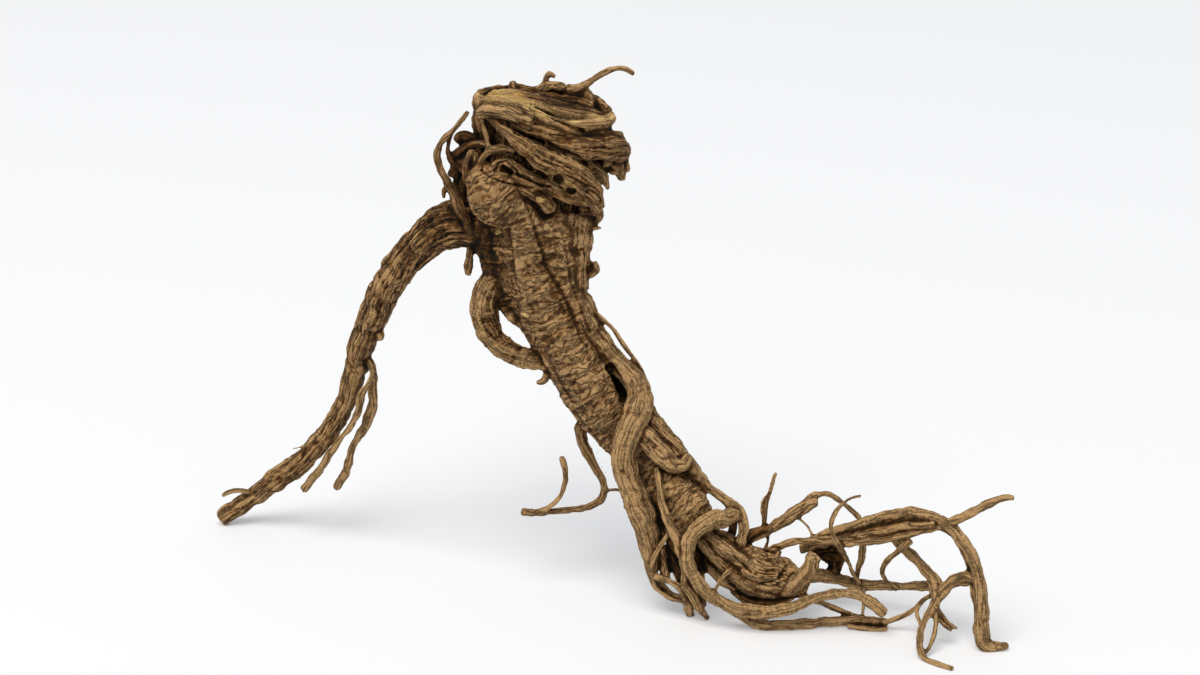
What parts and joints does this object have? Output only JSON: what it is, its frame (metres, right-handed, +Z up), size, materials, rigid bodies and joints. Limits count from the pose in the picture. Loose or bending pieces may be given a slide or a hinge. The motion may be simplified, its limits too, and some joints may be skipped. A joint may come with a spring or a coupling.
{
  "type": "ginseng root",
  "caption": "Dried ginseng root standing on its side roots: knotted crown, wrinkled leaning taproot, one long leg root and a tangle of rootlets.",
  "frame": {"origin": "on the surface it stands on, below the middle of its bounding box", "axes": "+Z up, +X from the long leg root towards the rootlets, +Y away from the viewer of the picture"},
  "size_m": [0.2537, 0.1133, 0.1651],
  "materials": {
    "dried_root": "dry, wrinkled and matt"
  },
  "bodies": {
    "root": {"ginseng_root": "dried_root"}
  },
  "joints": []
}
